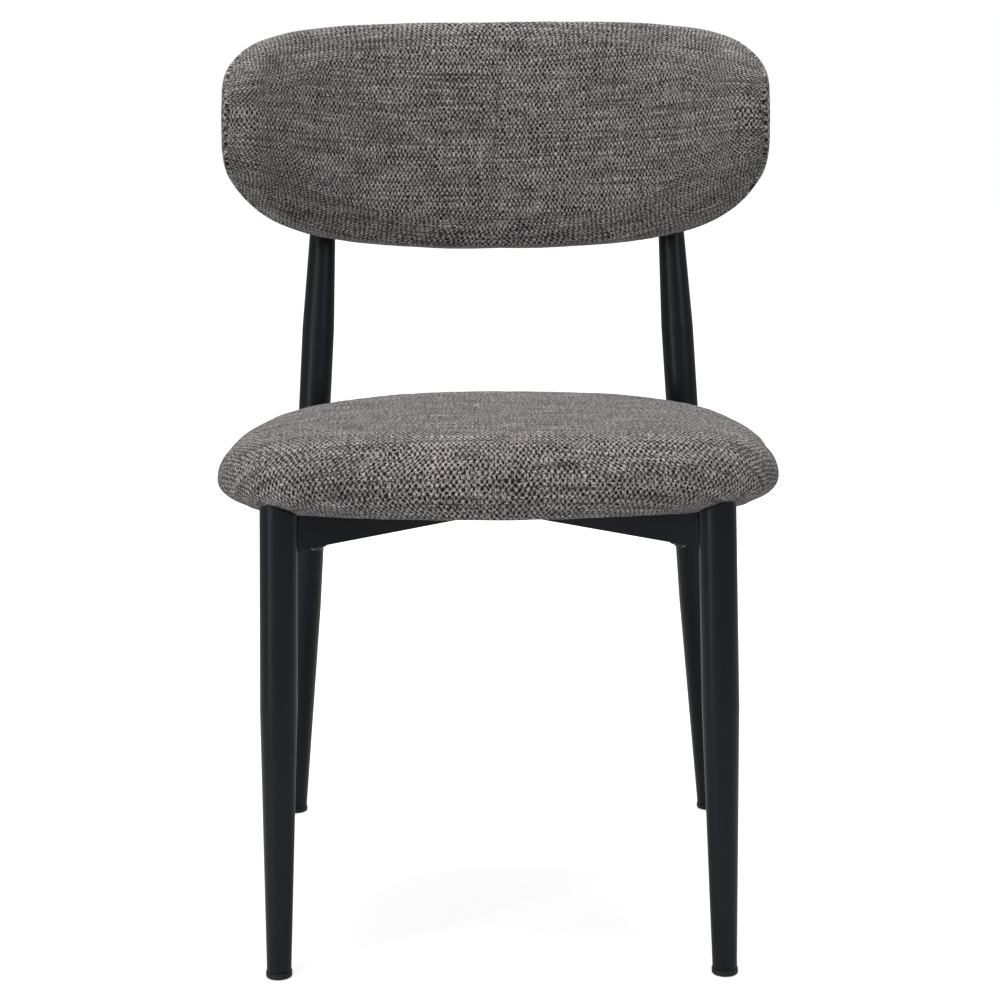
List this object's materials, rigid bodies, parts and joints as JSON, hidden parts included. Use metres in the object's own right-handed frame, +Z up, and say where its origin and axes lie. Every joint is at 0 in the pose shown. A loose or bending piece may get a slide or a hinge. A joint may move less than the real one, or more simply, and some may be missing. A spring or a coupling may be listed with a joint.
{
  "type": "dining chair",
  "caption": "Dining chair with black tapered steel tube legs, a rounded padded seat and a curved wrap-around padded backrest in grey woven fabric.",
  "frame": {"origin": "on the floor, under the middle of the chair's box", "axes": "+Z up, -Y the way the sitter faces, +X towards the sitter's left hand"},
  "size_m": [0.516, 0.504, 0.8235],
  "materials": {
    "powder_coat": "satin black powder coat",
    "black_plastic": "moulded black plastic",
    "plywood": "bare plywood",
    "foam": "open-cell cushion foam",
    "woven_fabric": "chunky woven upholstery in warm grey and near black",
    "dust_cloth": "black non-woven dust cloth",
    "zinc_steel": "zinc plated",
    "black_steel": "black oxide steel"
  },
  "bodies": {
    "root": {"front_leg_left": "powder_coat", "front_leg_right": "powder_coat", "rear_leg_left": "powder_coat", "rear_leg_right": "powder_coat", "cross_rail_long": "powder_coat", "cross_rail_short_front": "powder_coat", "cross_rail_short_rear": "powder_coat", "foot_glide_front_left": "black_plastic", "foot_glide_front_right": "black_plastic", "foot_glide_rear_left": "black_plastic", "foot_glide_rear_right": "black_plastic", "front_leg_plug_left": "black_plastic", "front_leg_plug_right": "black_plastic", "rear_post_plug_left": "black_plastic", "rear_post_plug_right": "black_plastic", "back_spacers": "black_plastic", "seat_board": "plywood", "back_board": "plywood", "seat_foam": "foam", "back_foam": "foam", "seat_cover": "woven_fabric", "back_cover": "woven_fabric", "seat_dust_cover": "dust_cloth", "seat_t_nuts": "zinc_steel", "back_t_nuts": "zinc_steel", "seat_screws": "black_steel", "back_bolts": "black_steel", "seat_washers": "black_steel", "back_washers": "black_steel"}
  },
  "joints": []
}
